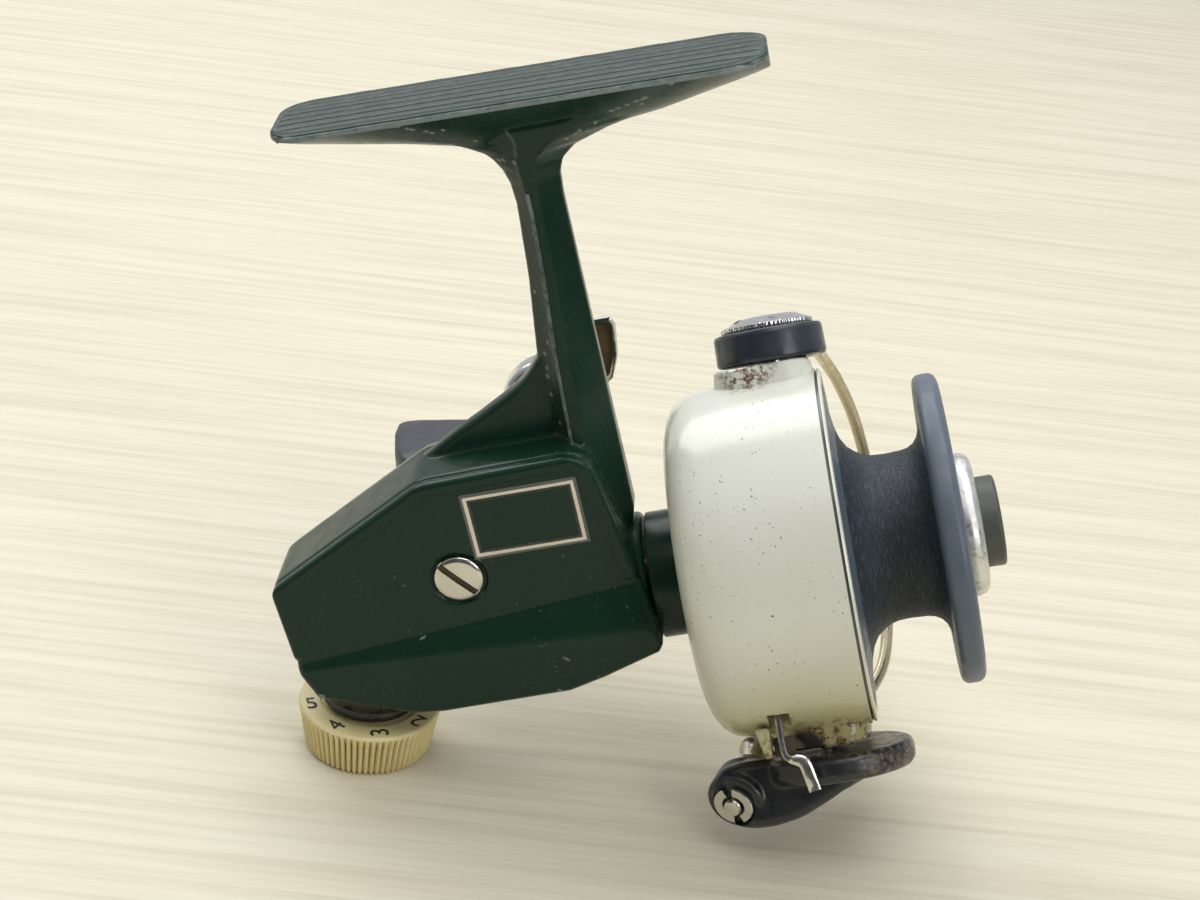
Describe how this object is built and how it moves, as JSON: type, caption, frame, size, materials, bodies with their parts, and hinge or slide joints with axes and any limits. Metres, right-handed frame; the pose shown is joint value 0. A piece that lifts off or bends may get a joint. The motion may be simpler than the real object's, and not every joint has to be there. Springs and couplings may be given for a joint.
{
  "type": "spinning reel",
  "caption": "Small open-face fishing reel with an outside bail, skirt-less spool, rear drag dial, side crank and a ribbed foot that straps to a rod.",
  "frame": {"origin": "centre of the flat rod seat on top of the foot", "axes": "+Z out of the foot towards the rod, +X along the rotor axis towards the spool, +Y towards the crank side"},
  "size_m": [0.1043, 0.0884, 0.1092],
  "materials": {
    "green_paint": "dark green gloss paint, worn to grey on edges",
    "ivory_plastic": "ivory gloss, specked and stained at the rim",
    "spool_slate": "slate blue-black satin",
    "black_paint": "black satin paint",
    "nickel": "bright nickel plate, lightly tarnished",
    "steel": "machined steel",
    "wire_nickel": "tarnished nickel-brass wire",
    "aluminium": "turned satin aluminium",
    "button_grey": "dark grey-green satin",
    "brass": "machined brass",
    "dial_plastic": "yellowed ivory moulding",
    "knob_plastic": "dark grey-violet moulding"
  },
  "bodies": {
    "frame": {"body_casting": "green_paint", "side_cover": "green_paint", "cover_screw": "nickel", "badge_frame": "nickel", "front_collar": "green_paint", "front_bearing": "steel", "crank_bush": "brass", "drag_neck": "black_paint", "drag_spring": "steel", "drag_shoe": "steel"},
    "crank": {"crank_shaft": "nickel", "drive_gear": "brass", "oscillation_pin": "steel", "crank_arm": "nickel", "crank_screw": "nickel", "knob_spindle": "nickel"},
    "knob": {"knob": "knob_plastic"},
    "rotor": {"rotor_cup": "ivory_plastic", "pinion": "brass", "ratchet_wheel": "steel", "rotor_nut": "brass", "ring_screw": "nickel", "arm_screw": "nickel", "bail_spring": "steel"},
    "bail": {"bail_ring": "black_paint", "bail_wire": "wire_nickel", "bail_arm": "black_paint", "roller_pin": "nickel", "roller_clip": "nickel"},
    "line_roller": {"line_roller": "nickel"},
    "trip_lever": {"trip_lever": "nickel"},
    "slider": {"oscillation_yoke": "steel"},
    "spool": {"main_shaft": "steel", "spool": "spool_slate", "spool_disc": "aluminium", "button_spring": "steel"},
    "spool_button": {"spool_button": "button_grey"},
    "drag_sleeve": {"drag_sleeve": "brass"},
    "drag_dial": {"drag_dial": "dial_plastic", "drag_spindle": "steel"},
    "anti_reverse": {"anti_reverse_shaft": "steel", "anti_reverse_lever": "nickel"}
  },
  "joints": [
    {"name": "crank_turn", "type": "hinge", "parent": "frame", "child": "crank", "pos_m": [-0.011, 0, -0.0602], "axis": [0, 1, 0], "continuous": true},
    {"name": "knob_spin", "type": "hinge", "parent": "crank", "child": "knob", "pos_m": [-0.03271, 0.05, -0.07487], "axis": [0, 1, 0], "continuous": true},
    {"name": "rotor_spin", "type": "hinge", "parent": "frame", "child": "rotor", "pos_m": [0.03, 0, -0.0737], "axis": [1, 0, 0], "continuous": true},
    {"name": "bail_flip", "type": "hinge", "parent": "rotor", "child": "bail", "pos_m": [0.0237, 0, -0.0737], "axis": [0, -0.4462, -0.8949], "range_deg": [0, 120]},
    {"name": "roller_spin", "type": "hinge", "parent": "bail", "child": "line_roller", "pos_m": [0.01187, -0.00943, -0.10164], "axis": [-0.3613, -0.9322, 0.0209], "continuous": true},
    {"name": "trip_lever_rock", "type": "hinge", "parent": "rotor", "child": "trip_lever", "pos_m": [0.017, -0.01989, -0.08669], "axis": [0, 0.8949, -0.4462], "range_deg": [-6, 6]},
    {"name": "spool_travel", "type": "slide", "parent": "frame", "child": "slider", "axis": [1, 0, 0], "range_m": [-0.009, 0.0005]},
    {"name": "spool_turn", "type": "hinge", "parent": "slider", "child": "spool", "pos_m": [0.03, 0, -0.0737], "axis": [1, 0, 0], "continuous": true},
    {"name": "button_press", "type": "slide", "parent": "spool", "child": "spool_button", "axis": [1, 0, 0], "range_m": [-0.0015, 0], "stiffness_N_per_m": 250, "springref_m": 0.0005},
    {"name": "drag_sleeve_turn", "type": "hinge", "parent": "frame", "child": "drag_sleeve", "pos_m": [-0.038, 0, -0.0737], "axis": [1, 0, 0], "continuous": true},
    {"name": "drag_adjust", "type": "hinge", "parent": "frame", "child": "drag_dial", "pos_m": [-0.0423, 0, -0.0865], "axis": [0.309, 0, 0.9511], "range_deg": [-135, 135]},
    {"name": "anti_reverse_switch", "type": "hinge", "parent": "frame", "child": "anti_reverse", "pos_m": [-0.0032, 0.009, -0.0647], "axis": [0, -1, 0], "range_deg": [0, 30]}
  ],
  "couplings": [
    {"joint": "rotor_spin", "follows": "crank_turn", "ratio": -5},
    {"joint": "drag_sleeve_turn", "follows": "spool_turn", "ratio": 1}
  ]
}
